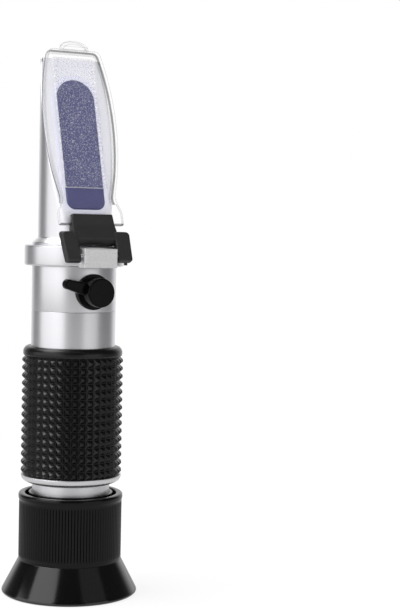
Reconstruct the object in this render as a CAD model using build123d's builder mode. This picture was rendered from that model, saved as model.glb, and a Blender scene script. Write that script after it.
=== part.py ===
from build123d import *
import math
import os

# Antifreeze refractometer, standing on the rim of its eyecup. Sizes are in millimetres.
# Z runs up the tube from the rim, and the sloped face of the prism looks towards -Y.

# Radii of the turned pieces
cup_radius = 20.0
ring_radius = 15.2
grip_radius = 14.85
collar_radius = 14.6
tube_radius = 12.35
spigot_radius = 11.6
neck_radius = 11.45
head_radius = 10.76
tube_bore = 10.6
barrel_radius = 9.8
lens_radius = 8.9
lens_clear = 7.9

# Heights along the tube
rim_height = 1.3
ring_base = 10.1
ring_top = 29.8
end_ring_base = 33.0
grip_base = 35.4
bead_base = 70.3
grip_top = 73.3
tube_seam = 83.8
tube_top = 97.0
collar_top = 102.9
head_step = 105.1
head_top = 157.4

# Sloped face, cover and hinge
slope_angle = 15.0
cover_depth = 4.2
cover_height = 136.0
cover_wall = 1.2
cover_rise = 2.4
head_gap = 0.4
hinge_depth = 15.6
hinge_height = 100.2
pin_radius = 0.75

# Calibration screw and its cap
screw_height = 89.8
boss_radius = 3.4
stem_radius = 2.8
cap_radius = 4.2
cap_depth = 18.3

# Clearances
running_fit = 0.05
free_gap = 0.25
overcut = 0.2

sine = math.sin(math.radians(slope_angle))
cosine = math.cos(math.radians(slope_angle))
cover_plane = Plane(
    origin=(0, -cover_depth, cover_height), x_dir=(1, 0, 0), z_dir=(0, -cosine, sine)
)
prism_plane = cover_plane.offset(-cover_rise)
head_plane = cover_plane.offset(-cover_rise - head_gap)
screw_plane = Plane(origin=(0, 0, screw_height), x_dir=(1, 0, 0), z_dir=(0, -1, 0))
hinge_plane = Plane(origin=(0, -hinge_depth, hinge_height), x_dir=(0, 1, 0), z_dir=(1, 0, 0))


def along_slope(height):
    """Distance up the slope from the centre of the cover to a height above the rim."""
    return (height - cover_height) / cosine


def turn(*profile, mode=Mode.ADD):
    """Turn a closed outline of (radius, height) points about the tube axis."""
    with BuildSketch(Plane.XZ) as section:
        with BuildLine():
            Polyline(*profile, close=True)
        make_face()
    revolve(section.sketch, axis=Axis.Z, mode=mode)


def turn_ring(inner, outer, low, high, mode=Mode.ADD):
    """Turn a plain ring between two radii and two heights."""
    turn((inner, low), (outer, low), (outer, high), (inner, high), mode=mode)


def turn_disc(outer, low, high, mode=Mode.ADD):
    """Turn a plain disc between two heights."""
    turn_ring(0, outer, low, high, mode=mode)


def turn_lens(radius, clear, low, high, low_bulge, high_bulge):
    """Turn a lens: faces that bulge inside the clear radius, and a flat seat around them."""
    with BuildSketch(Plane.XZ) as section:
        with BuildLine():
            if low_bulge:
                TangentArc((0, low - low_bulge), (clear, low), tangent=(1, 0))
            else:
                Line((0, low), (clear, low))
            Polyline((clear, low), (radius, low), (radius, high), (clear, high))
            if high_bulge:
                TangentArc((0, high + high_bulge), (clear, high), tangent=(1, 0))
            else:
                Line((0, high), (clear, high))
            Line((0, high + high_bulge), (0, low - low_bulge))
        make_face()
    revolve(section.sketch, axis=Axis.Z)


def star(points, outer, inner):
    """Corners of a star outline with as many tips as points."""
    corners = []
    for number in range(points):
        tip = 2 * math.pi * number / points
        root = tip + math.pi / points
        corners.append((outer * math.cos(tip), outer * math.sin(tip)))
        corners.append((inner * math.cos(root), inner * math.sin(root)))
    return corners


def prism_outline(half_width, low, high, corner):
    """Outline of the prism on the slope: a round top and a flatter, rounded foot."""
    straight = high - half_width - low
    with BuildSketch() as outline:
        with Locations((0, high - half_width)):
            Circle(half_width)
        with Locations((0, low + straight / 2)):
            Rectangle(2 * half_width, straight)
        fillet(outline.vertices().group_by(Axis.Y)[0], radius=corner)
    return outline.sketch


# Eyepiece: the turning focus ring and its rubber eyecup

rib_count = 104
rib_depth = 0.25
rib_base = 11.0
rib_top = 27.6
ring_rim = 15.4
ring_recess = 13.5
ring_lip = 12.4
lip_rise = 0.2
rim_bevel = 0.4
rim_flare = 0.6
recess_depth = 2.3
ring_bore = neck_radius + running_fit
socket_radius = 13.0
cup_floor = 7.4
socket_floor = 8.6
cup_aperture = 9.2
cup_throat = 14.4
rim_inner = 18.4
rim_round = 0.5
lip_round = 0.4
web_top = 11.8
snap_groove = 13.5
snap_height = 1.0
snap_depth = 0.6
snap_bore = 10.1
snap_gap = 2.4

with BuildPart() as focus_ring:
    turn(
        (ring_bore, web_top),
        (ring_bore, ring_top + lip_rise),
        (ring_lip, ring_top + lip_rise),
        (ring_lip, ring_top - recess_depth),
        (ring_recess, ring_top - recess_depth),
        (ring_recess, ring_top),
        (ring_rim - rim_bevel, ring_top),
        (ring_rim, ring_top - rim_bevel),
        (ring_rim, rib_top + rim_flare),
        (ring_radius - rib_depth, rib_top),
        (ring_radius - rib_depth, rib_base),
        (ring_radius, rib_base - rib_depth),
        (ring_radius, ring_base),
        (socket_radius, ring_base),
        (socket_radius, socket_floor),
        (barrel_radius + running_fit, socket_floor),
        (barrel_radius + running_fit, web_top),
    )
    with BuildSketch(Plane.XY.offset(rib_base)):
        with BuildLine():
            Polyline(*star(rib_count, ring_radius, ring_radius - rib_depth), close=True)
        make_face()
        Circle(socket_radius, mode=Mode.SUBTRACT)
    extrude(amount=rib_top - rib_base)
    turn_ring(
        ring_bore,
        ring_bore + snap_depth,
        snap_groove,
        snap_groove + snap_height,
        mode=Mode.SUBTRACT,
    )

with BuildPart() as snap_ring:
    turn_ring(snap_bore, ring_bore + snap_depth, snap_groove, snap_groove + snap_height)
    with BuildSketch(Plane.XY.offset(snap_groove)):
        with Locations((ring_bore, 0)):
            Rectangle(ring_bore, snap_gap)
    extrude(amount=snap_height, mode=Mode.SUBTRACT)

with BuildPart() as eyecup:
    turn(
        (rim_inner, 0),
        (cup_radius - rim_round, 0),
        (cup_radius, rim_round),
        (cup_radius, rim_height - rim_round),
        (cup_radius - rim_round, rim_height),
        (ring_radius, ring_base),
        (socket_radius, ring_base),
        (socket_radius, socket_floor),
        (cup_aperture, socket_floor),
        (cup_aperture, cup_floor),
        (cup_throat, cup_floor),
    )
    rim_edges = eyecup.edges().filter_by(GeomType.CIRCLE).group_by(Axis.Z)[0]
    fillet(rim_edges.sort_by(SortBy.RADIUS)[0], radius=lip_round)

# Eyepiece barrel, keyed against turning, with the two lenses of the eyepiece

barrel_base = 8.9
barrel_top = 35.0
flange_radius = 11.3
flange_top = 13.4
slot_low = 22.2
slot_high = 30.4
slot_width = 2.0
web_play = 0.08
eye_lens_base = 10.6
eye_lens_top = 14.6
eye_lens_bulge = 1.6
field_lens_base = 27.0
field_lens_top = 30.0
field_lens_bulge = 1.4

with BuildPart() as eyepiece_barrel:
    turn(
        (lens_radius, barrel_base),
        (barrel_radius, barrel_base),
        (barrel_radius, web_top + web_play),
        (flange_radius, web_top + web_play),
        (flange_radius, flange_top),
        (barrel_radius, flange_top),
        (barrel_radius, barrel_top),
        (lens_clear, barrel_top),
        (lens_clear, field_lens_top),
        (lens_radius, field_lens_top),
    )
    with BuildSketch(Plane.XZ.offset(-barrel_radius)):
        with Locations((0, (slot_low + slot_high) / 2)):
            SlotOverall(slot_high - slot_low, slot_width, rotation=90)
    extrude(amount=barrel_radius - lens_radius + overcut, mode=Mode.SUBTRACT)

with BuildPart() as eye_lens:
    turn_lens(lens_radius, lens_clear, eye_lens_base, eye_lens_top, 0, eye_lens_bulge)

with BuildPart() as eye_lens_retainer:
    turn_ring(lens_clear, lens_radius, barrel_base + free_gap, eye_lens_base)

with BuildPart() as lens_spacer:
    turn_ring(lens_clear, lens_radius, eye_lens_top, field_lens_base)

with BuildPart() as field_lens:
    turn_lens(lens_radius, lens_clear, field_lens_base, field_lens_top, field_lens_bulge, 0)

# Neck that the focus ring turns on, and the bevelled ring that ends the grip

neck_base = 20.0
neck_top = 40.0
tube_foot = 34.2
key_height = 26.0
key_radius = 0.9
key_head = neck_radius - 0.1
key_tip = 9.1
key_slot_width = 0.35
key_slot_depth = 0.4
bevel_low = 12.65
bevel_high = 14.8
bevel_land = 0.3

with BuildPart() as focus_neck:
    turn_ring(barrel_radius + running_fit, neck_radius, neck_base, neck_top)
    with BuildSketch(Plane.XZ.offset(-neck_radius - overcut)):
        with Locations((0, key_height)):
            Circle(key_radius)
    extrude(amount=neck_radius - barrel_radius + 2 * overcut, mode=Mode.SUBTRACT)

with BuildPart() as guide_screw:
    with BuildSketch(Plane.XZ.offset(-key_head)):
        with Locations((0, key_height)):
            Circle(key_radius)
    extrude(amount=key_head - key_tip)
    with BuildSketch(Plane.XZ.offset(-key_head)):
        with Locations((0, key_height)):
            Rectangle(2 * key_radius, key_slot_width)
    extrude(amount=key_slot_depth, mode=Mode.SUBTRACT)

with BuildPart() as end_ring:
    turn(
        (neck_radius, end_ring_base),
        (bevel_low, end_ring_base),
        (bevel_high, grip_base - bevel_land),
        (bevel_high, grip_base),
        (tube_radius, grip_base),
        (tube_radius, tube_foot),
        (neck_radius, tube_foot),
    )

# Rubber grip: each row of pyramid studs is a double taper crossed with a star-shaped prism

stud_rows = 15
stud_columns = 40
stud_depth = 0.85
bead_radius = 14.6
bead_shoulder = 13.95
bead_land = 13.35
bead_foot = 0.5
bead_crown = 1.2
bead_edge = 0.3
sleeve_overlap = 0.1
row_height = (bead_base - grip_base) / stud_rows
stud_root = grip_radius - stud_depth
root_flat = stud_root * math.cos(math.pi / stud_columns)
stud_taper = math.degrees(math.atan((grip_radius - root_flat) / (row_height / 2)))

with BuildPart() as stud_row:
    with BuildSketch() as crest:
        RegularPolygon(
            grip_radius, stud_columns, major_radius=False, rotation=180 / stud_columns
        )
    extrude(amount=row_height / 2, taper=stud_taper)
    extrude(crest.sketch, amount=-row_height / 2, taper=stud_taper)
    with BuildSketch(Plane.XY.offset(-row_height / 2)):
        with BuildLine():
            Polyline(*star(stud_columns, grip_radius, stud_root), close=True)
        make_face()
    extrude(amount=row_height, mode=Mode.INTERSECT)
    with BuildSketch(Plane.XY.offset(-row_height)):
        Circle(tube_radius)
    extrude(amount=2 * row_height, mode=Mode.SUBTRACT)

with BuildPart() as grip_sleeve:
    row_heights = [grip_base + (row + 0.5) * row_height for row in range(stud_rows)]
    with Locations(*[(0, 0, height) for height in row_heights]):
        add(stud_row.part)
    turn(
        (tube_radius, bead_base),
        (root_flat - sleeve_overlap, bead_base),
        (bead_radius, bead_base + bead_foot),
        (bead_radius, grip_top - bead_crown),
        (bead_shoulder, grip_top - bead_edge),
        (bead_land, grip_top),
        (tube_radius, grip_top),
    )

# Body tube in two lengths, joined by a spigot at the seam

seam_spigot = 3.2
head_spigot = 3.5
seam_bevel = 0.15

with BuildPart() as main_tube:
    turn(
        (neck_radius, tube_foot),
        (tube_radius, tube_foot),
        (tube_radius, tube_seam - seam_bevel),
        (tube_radius - seam_bevel, tube_seam),
        (spigot_radius, tube_seam),
        (spigot_radius, tube_seam + seam_spigot),
        (tube_bore, tube_seam + seam_spigot),
        (tube_bore, neck_top),
        (neck_radius, neck_top),
    )

with BuildPart() as upper_tube:
    turn(
        (spigot_radius, tube_seam),
        (tube_radius - seam_bevel, tube_seam),
        (tube_radius, tube_seam + seam_bevel),
        (tube_radius, tube_top),
        (spigot_radius, tube_top),
        (spigot_radius, tube_top - head_spigot),
        (tube_bore, tube_top - head_spigot),
        (tube_bore, tube_seam + seam_spigot),
        (spigot_radius, tube_seam + seam_spigot),
    )
    with BuildSketch(screw_plane):
        Circle(stem_radius)
    extrude(amount=cap_depth, mode=Mode.SUBTRACT)

# Collar with the hinge block held in a window in its front

block_half = 5.25
block_depth = 17.4
block_low = 96.85
block_top = 102.35
block_round = 0.25
collar_bevel = 0.5
tenon_half = 3.0
tenon_height = 3.4
block_middle = (block_low + block_top) / 2

with BuildPart() as collar_ring:
    turn(
        (spigot_radius, tube_top),
        (collar_radius - collar_bevel, tube_top),
        (collar_radius, tube_top + collar_bevel),
        (collar_radius, collar_top - collar_bevel),
        (collar_radius - collar_bevel, collar_top),
        (spigot_radius, collar_top),
    )
    with BuildSketch(Plane.XZ.offset(spigot_radius / 2)):
        with Locations((0, block_middle)):
            Rectangle(2 * tenon_half, tenon_height)
    extrude(amount=collar_radius, mode=Mode.SUBTRACT)

with BuildPart() as hinge_block:
    with BuildSketch(Plane.XZ.offset(spigot_radius)):
        with Locations((0, block_middle)):
            RectangleRounded(2 * block_half, block_top - block_low, block_round)
    extrude(amount=block_depth - spigot_radius)
    turn_disc(collar_radius, tube_seam, head_step, mode=Mode.SUBTRACT)
    with BuildSketch(Plane.XZ.offset(spigot_radius / 2)):
        with Locations((0, block_middle)):
            Rectangle(2 * tenon_half, tenon_height)
    extrude(amount=collar_radius - spigot_radius / 2)
    turn_disc(spigot_radius, tube_seam, head_step, mode=Mode.SUBTRACT)
    with BuildSketch(hinge_plane):
        Circle(pin_radius + running_fit)
    extrude(amount=block_half, both=True, mode=Mode.SUBTRACT)

# Prism head: a turned bar cut by the slope, with a pocket for the prism and a bore for the light

prism_half = 6.15
prism_low = along_slope(114.1)
prism_high = along_slope(152.0)
prism_corner = 2.6
back_wall = 1.4
seal_rim = 1.5
seal_depth = 0.8
seal_rise = 0.2
light_bore = 6.5
light_bore_top = 113.5
flange_edge = 0.7
head_round = 0.8

with BuildPart() as prism:
    with BuildSketch(prism_plane):
        add(prism_outline(prism_half, prism_low, prism_high, prism_corner))
    extrude(amount=-2 * head_radius)
    with BuildSketch(Plane.XY.offset(head_step)):
        Circle(2 * collar_radius)
        Circle(head_radius - back_wall, mode=Mode.SUBTRACT)
        with Locations((0, -collar_radius)):
            Rectangle(4 * collar_radius, 2 * collar_radius, mode=Mode.SUBTRACT)
    extrude(amount=head_top - head_step, mode=Mode.SUBTRACT)

with BuildPart() as prism_seal:
    with BuildSketch(head_plane.offset(seal_rise)):
        add(
            prism_outline(
                prism_half + seal_rim,
                prism_low - seal_rim,
                prism_high + seal_rim,
                prism_corner + seal_rim,
            )
        )
    extrude(amount=-seal_rise - seal_depth)
    add(prism.part, mode=Mode.SUBTRACT)

with BuildPart() as prism_head:
    turn(
        (0, light_bore_top),
        (light_bore, light_bore_top),
        (light_bore, tube_top - head_spigot),
        (spigot_radius, tube_top - head_spigot),
        (spigot_radius, collar_top),
        (tube_radius, collar_top),
        (tube_radius, collar_top + flange_edge),
        (head_radius, head_step),
        (head_radius, head_top),
        (0, head_top),
    )
    fillet(prism_head.edges().group_by(Axis.Z)[-1], radius=head_round)
    split(bisect_by=head_plane, keep=Keep.BOTTOM)
    add(prism.part, mode=Mode.SUBTRACT)
    add(prism_seal.part, mode=Mode.SUBTRACT)

# Cover: a clear tray with a frosted pad under it, held by the tongue of a black clamp

cover_top = along_slope(160.3)
cover_top_half = 8.2
cover_round = 1.5
bulge_at = along_slope(138.5)
bulge_half = 11.4
neck_at = along_slope(116.8)
neck_half = 8.4
rim_low = along_slope(115.5)
ear_shoulder = along_slope(112.7)
ear_low = along_slope(109.0)
ear_half = 10.35
notch_top = along_slope(112.0)
notch_half = 6.35
tongue_base_half = 7.0
tongue_bend = along_slope(107.3)
tongue_low = along_slope(103.5)
tongue_rise = 1.0
tongue_sink = 1.6
tongue_chamfer = 1.2
widening = (tongue_base_half - notch_half) / (notch_top - tongue_bend)
ear_inner = notch_half + widening * (notch_top - ear_low)
tab_half = 4.6
tab_top = along_slope(162.9)
pad_half = 6.65
pad_low = along_slope(120.2)
pad_high = along_slope(158.1)
pad_round = 0.6


def cover_outline(inset):
    """Barrel-shaped outline of the cover, with an ear on each side of the notch for the tongue."""
    with BuildSketch() as outline:
        with BuildLine():
            Line((0, cover_top), (cover_top_half, cover_top))
            ThreePointArc((cover_top_half, cover_top), (bulge_half, bulge_at), (neck_half, neck_at))
            Polyline(
                (neck_half, neck_at),
                (ear_half, ear_shoulder),
                (ear_half, ear_low),
                (ear_inner, ear_low),
                (notch_half, notch_top),
                (0, notch_top),
            )
            mirror(about=Plane.YZ)
        make_face()
        fillet(outline.vertices().group_by(Axis.Y)[-1], radius=cover_round)
        if inset:
            offset(amount=-inset, mode=Mode.REPLACE)
    return outline.sketch


with BuildPart() as cover_plate:
    with BuildSketch(cover_plane):
        add(cover_outline(0))
    extrude(amount=-cover_rise)
    with BuildSketch(cover_plane.offset(-cover_wall)):
        add(cover_outline(cover_wall))
        with Locations((0, ear_low)):
            Rectangle(4 * ear_half, 2 * (rim_low - ear_low))
    extrude(amount=cover_wall - cover_rise, mode=Mode.SUBTRACT)
    with BuildSketch(cover_plane.offset(-cover_wall)):
        with Locations((0, (pad_low + pad_high) / 2)):
            RectangleRounded(2 * pad_half, pad_high - pad_low, pad_round)
    extrude(amount=cover_wall - cover_rise + running_fit)
    with BuildSketch(cover_plane):
        with BuildLine():
            ThreePointArc((-tab_half, cover_top), (0, tab_top), (tab_half, cover_top))
            Line((tab_half, cover_top), (-tab_half, cover_top))
        make_face()
    extrude(amount=-cover_wall)

# Clamp: a U whose arms lean back to the tongue, with a relief behind them for the collar

arm_inner = 5.9
arm_outer = 10.1
arm_front = 1.2
arm_back = 1.4
arm_foot = 2.0
arm_tilt = math.radians(24)
arm_round = 0.8
shoulder_rise = 107.2 - hinge_height
clamp_gap = 0.4
nub_radius = 0.5
nub_offset = 8.8
nub_low = 97.6
nub_root = 99.0
pin_stub = 0.15
arm_plane = Plane(
    origin=(arm_inner, -hinge_depth, hinge_height),
    x_dir=(0, math.cos(arm_tilt), -math.sin(arm_tilt)),
    z_dir=(1, 0, 0),
)


def arm_top(across):
    """Where a line along the arm, this far behind the pin, meets the level shoulder."""
    return (shoulder_rise + across * math.sin(arm_tilt)) / math.cos(arm_tilt)


def arm_end(across):
    """Where a line along the arm, this far behind the pin, meets the round foot."""
    return -math.sqrt(arm_foot**2 - across**2)


with BuildPart() as hinge_clamp:
    with BuildSketch(cover_plane.offset(tongue_rise)):
        with BuildLine():
            Polyline(
                (0, notch_top),
                (notch_half, notch_top),
                (tongue_base_half, tongue_bend),
                (tongue_base_half, tongue_low),
                (0, tongue_low),
            )
            mirror(about=Plane.YZ)
        make_face()
    extrude(amount=-tongue_rise - tongue_sink)
    front_edge = hinge_clamp.edges().filter_by(Axis.X).sort_by(Axis.Y)[0]
    chamfer(front_edge, length=tongue_chamfer)
    with BuildSketch(arm_plane):
        with BuildLine():
            Polyline(
                (-arm_front, arm_end(-arm_front)),
                (-arm_front, arm_top(-arm_front)),
                (arm_back, arm_top(arm_back)),
                (arm_back, arm_end(arm_back)),
            )
            ThreePointArc(
                (arm_back, arm_end(arm_back)), (0, -arm_foot), (-arm_front, arm_end(-arm_front))
            )
        make_face()
    extrude(amount=arm_outer - arm_inner)
    outer_edge = hinge_clamp.edges().filter_by(Axis.Y).sort_by(Axis.X)[-1]
    fillet(outer_edge, radius=arm_round)
    mirror(about=Plane.YZ)
    turn_disc(tube_radius + clamp_gap, tube_top, head_step + clamp_gap, mode=Mode.SUBTRACT)
    turn_disc(collar_radius + free_gap, tube_top, collar_top + free_gap, mode=Mode.SUBTRACT)
    with BuildSketch(hinge_plane):
        Circle(pin_radius)
    extrude(amount=collar_radius, both=True, mode=Mode.SUBTRACT)
    with BuildSketch(Plane.XY.offset(nub_low)):
        with Locations((nub_offset, -hinge_depth)):
            Circle(nub_radius)
    extrude(amount=nub_root - nub_low)

with BuildPart() as hinge_pin:
    with BuildSketch(hinge_plane):
        Circle(pin_radius)
    extrude(amount=arm_outer + pin_stub, both=True)
    chamfer(hinge_pin.edges().filter_by(GeomType.CIRCLE), length=pin_stub)

# Calibration screw in its bush, under a rubber cap with a pull tab

boss_depth = 16.9
bush_inner = 10.0
shank_radius = 1.55
screw_head_radius = 2.4
screw_head_seat = 15.2
screw_head_top = 16.5
screw_tip = 8.9
screw_bevel = 0.5
driver_slot = 0.6
driver_slot_depth = 0.7
head_play = 0.1
cap_face = 1.3
cap_round = 0.5
cap_flange = 5.2
flange_depth = 13.4
pull_near = 13.4
pull_far = 15.9
pull_root = 3.0
pull_root_half = 1.75
pull_neck_half = 1.3
pull_reach = 9.4
pull_lobe = 1.45
pull_tilt = math.radians(14.7)
pull_plane = Plane(
    origin=(0, -pull_near, screw_height),
    x_dir=(-math.cos(pull_tilt), 0, math.sin(pull_tilt)),
    z_dir=(0, -1, 0),
)

with BuildPart() as calibration_bush:
    with BuildSketch(screw_plane.offset(neck_radius)):
        Circle(boss_radius)
    extrude(amount=boss_depth - neck_radius)
    turn_disc(tube_radius, tube_seam, tube_top, mode=Mode.SUBTRACT)
    with BuildSketch(screw_plane.offset(bush_inner)):
        Circle(stem_radius)
    extrude(amount=tube_radius - bush_inner)
    with BuildSketch(screw_plane):
        Circle(shank_radius + running_fit)
    extrude(amount=cap_depth, mode=Mode.SUBTRACT)
    with BuildSketch(screw_plane.offset(screw_head_seat)):
        Circle(screw_head_radius + head_play)
    extrude(amount=cap_depth, mode=Mode.SUBTRACT)

with BuildPart() as calibration_screw:
    with BuildSketch(screw_plane.offset(screw_tip)):
        Circle(shank_radius)
    extrude(amount=screw_head_seat - screw_tip + head_play)
    with BuildSketch(screw_plane.offset(screw_head_seat + head_play)):
        Circle(screw_head_radius)
    extrude(amount=screw_head_top - screw_head_seat - head_play)
    with BuildSketch(screw_plane.offset(screw_head_top)):
        Rectangle(3 * screw_head_radius, driver_slot)
    extrude(amount=-driver_slot_depth, mode=Mode.SUBTRACT)
    tip_edge = calibration_screw.edges().filter_by(GeomType.CIRCLE).sort_by(Axis.Y)[-1]
    chamfer(tip_edge, length=screw_bevel)

with BuildPart() as screw_cap:
    with BuildSketch(screw_plane.offset(spigot_radius)):
        Circle(cap_radius)
    extrude(amount=cap_depth - spigot_radius)
    fillet(screw_cap.edges().group_by(Axis.Y)[0], radius=cap_round)
    with BuildSketch(screw_plane.offset(tube_bore)):
        Circle(cap_flange)
    extrude(amount=flange_depth - tube_bore)
    with BuildSketch(pull_plane):
        with BuildLine():
            Polyline(
                (pull_root, -pull_root_half),
                (pull_reach, -pull_neck_half),
                (pull_reach, pull_neck_half),
                (pull_root, pull_root_half),
                close=True,
            )
        make_face()
        with Locations((pull_reach, 0)):
            Circle(pull_lobe)
    extrude(amount=pull_far - pull_near)
    turn_disc(tube_radius + free_gap, tube_seam, tube_top, mode=Mode.SUBTRACT)
    with BuildSketch(screw_plane):
        Circle(boss_radius + running_fit)
    extrude(amount=cap_depth - cap_face, mode=Mode.SUBTRACT)

# Optics inside the tube: the objective on its bimetal strip, the baffle and the scale

cell_radius = 8.8
cell_low = 85.5
cell_top = 93.2
objective_radius = 6.6
objective_clear = 5.7
objective_low = 86.3
objective_top = 88.8
objective_front_bulge = 1.1
objective_back_bulge = 0.7
retainer_height = 1.4
strip_half = 2.25
strip_inner = 8.2
strip_thickness = 0.6
strip_low = 62.5
anchor_low = 62.0
anchor_top = 67.0
baffle_low = 74.0
baffle_top = 75.0
baffle_bore = 7.0
holder_low = 46.0
holder_top = 52.0
reticle_low = 47.0
reticle_top = 48.5
reticle_radius = 9.6
reticle_ledge = 1.0

with BuildPart() as bimetal_strip:
    with BuildSketch(Plane.XY.offset(strip_low)):
        with Locations((0, strip_inner + strip_thickness / 2)):
            Rectangle(2 * strip_half, strip_thickness)
    extrude(amount=cell_top - strip_low)

with BuildPart() as strip_anchor:
    turn_ring(strip_inner, tube_bore, anchor_low, anchor_top)
    add(bimetal_strip.part, mode=Mode.SUBTRACT)

with BuildPart() as objective_cell:
    turn(
        (objective_clear, cell_low),
        (cell_radius, cell_low),
        (cell_radius, cell_top),
        (objective_radius, cell_top),
        (objective_radius, objective_low),
        (objective_clear, objective_low),
    )
    with BuildSketch(Plane.XY.offset(cell_low)):
        with Locations((0, strip_inner + strip_thickness)):
            Rectangle(2 * cell_radius, 2 * strip_thickness)
    extrude(amount=cell_top - cell_low, mode=Mode.SUBTRACT)

with BuildPart() as objective_lens:
    turn_lens(
        objective_radius,
        objective_clear,
        objective_low,
        objective_top,
        objective_back_bulge,
        objective_front_bulge,
    )

with BuildPart() as objective_retainer:
    turn_ring(
        objective_clear, objective_radius, objective_top, objective_top + retainer_height
    )

with BuildPart() as light_baffle:
    turn_ring(baffle_bore, tube_bore, baffle_low, baffle_top)
    add(bimetal_strip.part, mode=Mode.SUBTRACT)

with BuildPart() as reticle_holder:
    turn(
        (reticle_radius - reticle_ledge, holder_low),
        (tube_bore, holder_low),
        (tube_bore, holder_top),
        (reticle_radius, holder_top),
        (reticle_radius, reticle_low),
        (reticle_radius - reticle_ledge, reticle_low),
    )

with BuildPart() as reticle:
    turn_disc(reticle_radius, reticle_low, reticle_top)

with BuildPart() as reticle_retainer:
    turn_ring(
        reticle_radius - reticle_ledge, reticle_radius, reticle_top, reticle_top + retainer_height
    )

pieces = {
    "focus_ring": focus_ring,
    "snap_ring": snap_ring,
    "eyecup": eyecup,
    "eyepiece_barrel": eyepiece_barrel,
    "eye_lens": eye_lens,
    "eye_lens_retainer": eye_lens_retainer,
    "lens_spacer": lens_spacer,
    "field_lens": field_lens,
    "focus_neck": focus_neck,
    "guide_screw": guide_screw,
    "end_ring": end_ring,
    "grip_sleeve": grip_sleeve,
    "main_tube": main_tube,
    "upper_tube": upper_tube,
    "collar_ring": collar_ring,
    "hinge_block": hinge_block,
    "prism": prism,
    "prism_seal": prism_seal,
    "prism_head": prism_head,
    "cover_plate": cover_plate,
    "hinge_clamp": hinge_clamp,
    "hinge_pin": hinge_pin,
    "calibration_bush": calibration_bush,
    "calibration_screw": calibration_screw,
    "screw_cap": screw_cap,
    "bimetal_strip": bimetal_strip,
    "strip_anchor": strip_anchor,
    "objective_cell": objective_cell,
    "objective_lens": objective_lens,
    "objective_retainer": objective_retainer,
    "light_baffle": light_baffle,
    "reticle_holder": reticle_holder,
    "reticle": reticle,
    "reticle_retainer": reticle_retainer,
}

os.makedirs("parts", exist_ok=True)
for name, piece in pieces.items():
    piece.part.label = name
    export_step(piece.part, f"parts/{name}.step")
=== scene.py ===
"""Looks of a hand-held refractometer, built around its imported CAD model.

Each piece is a surface worked out with numpy on a grid of two parameters. Lengths in the classes are in
millimetres, in the frame of the CAD: Z runs up the tube from the rim of the eyecup, and the sloped face of
the prism looks towards -Y. They become metres where a mesh is made.
"""

from __future__ import annotations

import logging
import math
from dataclasses import dataclass, field
from enum import Enum
from typing import Sequence, Union

import bmesh
import bpy
import numpy as np
from mathutils import Matrix, Vector

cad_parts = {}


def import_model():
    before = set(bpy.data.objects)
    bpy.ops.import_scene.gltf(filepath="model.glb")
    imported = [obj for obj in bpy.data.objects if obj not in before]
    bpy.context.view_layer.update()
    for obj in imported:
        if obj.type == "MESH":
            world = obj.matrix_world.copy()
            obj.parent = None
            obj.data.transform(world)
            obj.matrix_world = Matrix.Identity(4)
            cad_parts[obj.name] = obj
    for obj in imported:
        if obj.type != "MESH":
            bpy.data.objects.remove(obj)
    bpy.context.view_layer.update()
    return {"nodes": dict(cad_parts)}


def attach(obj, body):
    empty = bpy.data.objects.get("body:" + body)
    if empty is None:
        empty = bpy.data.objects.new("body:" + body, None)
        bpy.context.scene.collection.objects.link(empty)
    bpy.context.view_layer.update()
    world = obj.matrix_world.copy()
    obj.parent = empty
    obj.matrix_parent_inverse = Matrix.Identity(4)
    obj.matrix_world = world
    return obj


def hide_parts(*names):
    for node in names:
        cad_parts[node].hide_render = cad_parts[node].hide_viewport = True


MM = 0.001
WELD = 2e-7
SMOOTH_ANGLE = math.radians(32)

# The sloped face leans back by SLOPE, and the middle of the cover's front lies at FACE_Y and FACE_Z.
SLOPE = math.radians(15)
SINE, COSINE, TANGENT = math.sin(SLOPE), math.cos(SLOPE), math.tan(SLOPE)
FACE_Y = -4.2
FACE_Z = 136.0

# Sizes that neighbouring pieces share, and the most of a side that a rounded corner takes.
TUBE_RADIUS = 12.35
SPIGOT_RADIUS = 11.6
GRIP_FOOT = 35.4
HEAD_SEAT = 93.5
COLLAR_TOP = 102.9
CUT_SHARE = 0.45

Number = Union["Term", float]
Corners = Sequence[Sequence[float]]
Cut = Union[float, Sequence[float]]
log = logging.getLogger("refractometer")


class Body(Enum):
    """The CAD bodies that pieces ride on."""

    ROOT = "root"
    COVER = "cover"
    CAP = "cap"
    FOCUS = "focus"


class Slot(Enum):
    """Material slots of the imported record."""

    METAL = "bright_aluminium"
    RUBBER = "black_rubber"
    PLASTIC = "black_plastic"
    CLEAR = "clear_plastic"
    STEEL = "steel"
    PRISM = "prism_glass"
    CEMENT = "pale_cement"


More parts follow.
